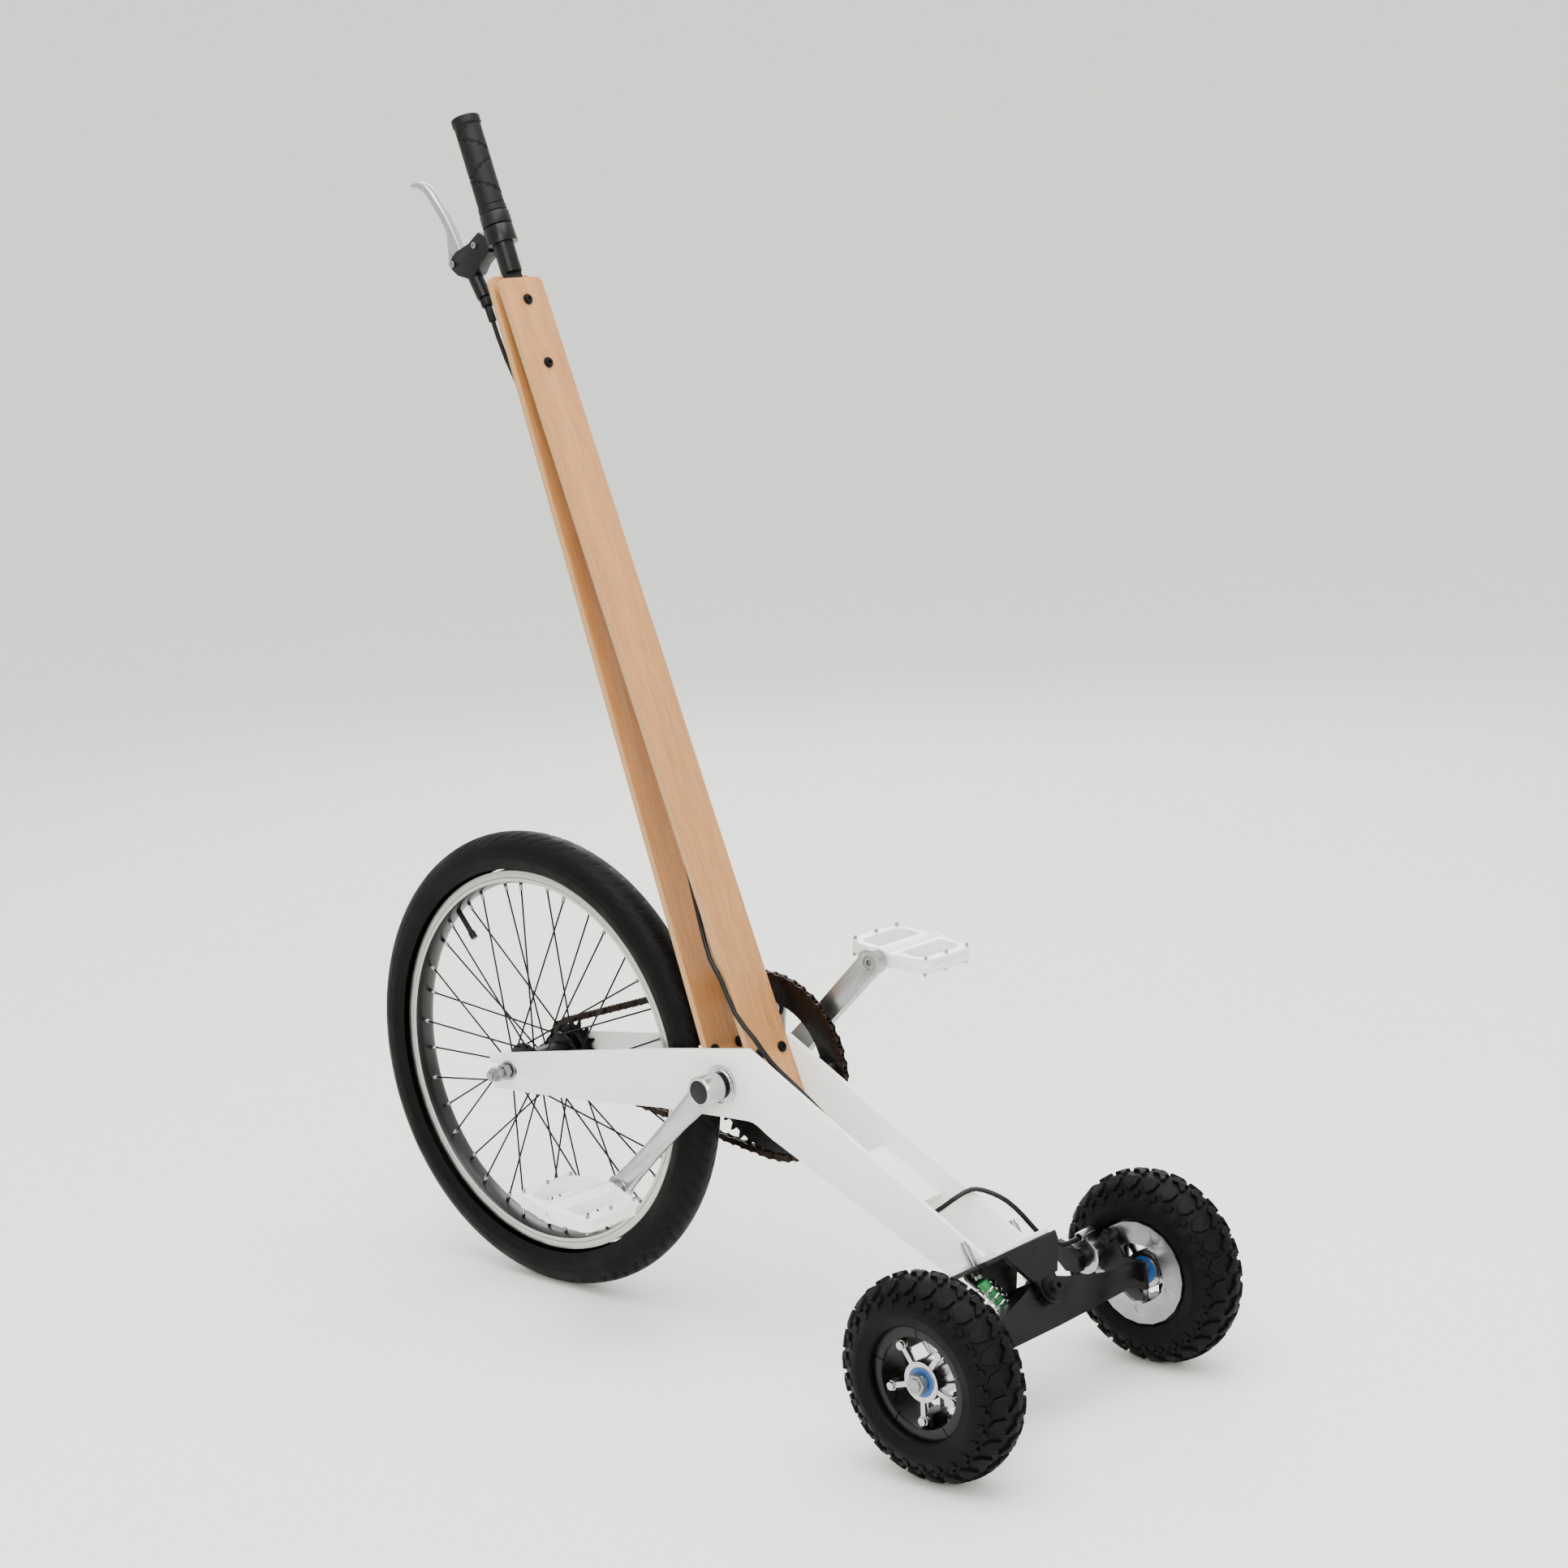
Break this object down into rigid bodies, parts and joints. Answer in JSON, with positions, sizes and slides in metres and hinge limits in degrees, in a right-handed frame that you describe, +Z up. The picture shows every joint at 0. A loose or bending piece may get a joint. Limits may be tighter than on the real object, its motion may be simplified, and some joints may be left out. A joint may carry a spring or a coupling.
{
  "type": "stand-up pedal trike",
  "caption": "Stand-up front-wheel-drive pedal trike: one spoked front wheel, a leaning rear truck with small tyres, flat side plates and a plank post with a grip and brake lever.",
  "frame": {"origin": "on the floor under the middle of the object's bounding box", "axes": "+X forward towards the big wheel, +Y left, +Z up"},
  "size_m": [1.0199, 0.406, 1.2549],
  "materials": {
    "white_powder_coat": "satin powder coat",
    "beech_plywood": "clear oiled",
    "black_screws": "black oxide",
    "black_alloy": "satin black",
    "black_plastic": "moulded",
    "grip_rubber": "moulded",
    "cable_sheath": "extruded",
    "steel": "zinc plated",
    "chrome_steel": "polished",
    "dark_steel": "phosphated",
    "chain_steel": "bronze brown",
    "cast_aluminium": "polished casting",
    "brushed_aluminium": "satin",
    "white_alloy": "gloss paint",
    "damper_rubber": "elastomer",
    "tyre_rubber": "matte",
    "blue_seal": "seal"
  },
  "bodies": {
    "frame": {"side_plate_left": "white_powder_coat", "side_plate_right": "white_powder_coat", "cross_panel": "white_powder_coat", "mount_plate": "white_powder_coat", "post_brackets": "white_powder_coat", "bb_shell": "white_powder_coat", "bb_cups": "chrome_steel", "plank_front": "beech_plywood", "plank_rear": "beech_plywood", "plank_bolts": "black_screws", "bar_tube": "black_alloy", "grip": "grip_rubber", "grip_lock_ring": "black_plastic", "lever_perch": "black_alloy", "perch_screws": "steel", "cable_boot": "grip_rubber", "brake_cable": "cable_sheath", "front_axle": "steel", "axle_nuts": "steel", "truck_baseplate": "black_alloy", "pivot_bolt": "black_screws", "spring_bolts": "steel", "chain": "chain_steel", "truck_springs": "chrome_steel", "truck_dampers": "damper_rubber"},
    "brake_lever": {"brake_lever": "cast_aluminium"},
    "crankset": {"bb_spindle": "dark_steel", "crank_left": "cast_aluminium", "crank_caps": "black_plastic", "crank_right": "brushed_aluminium", "chainring": "dark_steel", "chainring_bolts": "steel", "pedal_spindles": "steel"},
    "pedal_left": {"pedal_left": "white_alloy", "pedal_pins_left": "steel"},
    "pedal_right": {"pedal_right": "white_alloy", "pedal_pins_right": "steel"},
    "cog": {"front_cog": "dark_steel"},
    "front_wheel": {"front_tyre": "tyre_rubber", "front_rim": "black_alloy", "front_hub": "black_alloy", "spokes": "dark_steel", "spoke_nipples": "steel", "front_valve": "dark_steel"},
    "hanger": {"hanger": "black_alloy", "rear_axle": "steel", "rear_axle_nuts": "steel", "caliper_body": "cast_aluminium", "caliper_bracket": "black_alloy", "caliper_actuator": "black_plastic"},
    "wheel_left": {"tyre_left": "tyre_rubber", "rim_left": "black_alloy", "star_hub_left": "cast_aluminium", "bearings_left": "blue_seal"},
    "wheel_right": {"tyre_right": "tyre_rubber", "rim_right": "black_alloy", "star_hub_right": "cast_aluminium", "bearings_right": "blue_seal", "brake_disc": "brushed_aluminium"}
  },
  "joints": [
    {"name": "lever_pull", "type": "hinge", "parent": "frame", "child": "brake_lever", "pos_m": [0.309, 0, 1.103], "axis": [0, -1, 0], "range_deg": [0, 24], "stiffness_Nm_per_rad": 0.5, "springref_deg": -11.46},
    {"name": "crank_spin", "type": "hinge", "parent": "frame", "child": "crankset", "pos_m": [-0.036, 0, 0.276], "axis": [0, 1, 0], "continuous": true, "deforming": ["chain"]},
    {"name": "pedal_left_spin", "type": "hinge", "parent": "crankset", "child": "pedal_left", "pos_m": [0.08421, 0.127, 0.15579], "axis": [0, 1, 0], "continuous": true},
    {"name": "pedal_right_spin", "type": "hinge", "parent": "crankset", "child": "pedal_right", "pos_m": [-0.15621, -0.127, 0.39621], "axis": [0, 1, 0], "continuous": true},
    {"name": "cog_spin", "type": "hinge", "parent": "frame", "child": "cog", "pos_m": [0.259, 0, 0.251], "axis": [0, 1, 0], "continuous": true},
    {"name": "front_wheel_spin", "type": "hinge", "parent": "frame", "child": "front_wheel", "pos_m": [0.259, 0, 0.251], "axis": [0, 1, 0], "continuous": true},
    {"name": "lean", "type": "hinge", "parent": "frame", "child": "hanger", "pos_m": [-0.40018, 0, 0.11889], "axis": [-0.8704, 0, 0.4924], "range_deg": [-14, 14], "stiffness_Nm_per_rad": 60, "deforming": ["truck_springs", "truck_dampers", "brake_cable"]},
    {"name": "wheel_left_spin", "type": "hinge", "parent": "hanger", "child": "wheel_left", "pos_m": [-0.412, 0.173, 0.098], "axis": [0, 1, 0], "continuous": true},
    {"name": "wheel_right_spin", "type": "hinge", "parent": "hanger", "child": "wheel_right", "pos_m": [-0.412, -0.173, 0.098], "axis": [0, 1, 0], "continuous": true}
  ],
  "couplings": [
    {"joint": "cog_spin", "follows": "crank_spin", "ratio": 3}
  ]
}
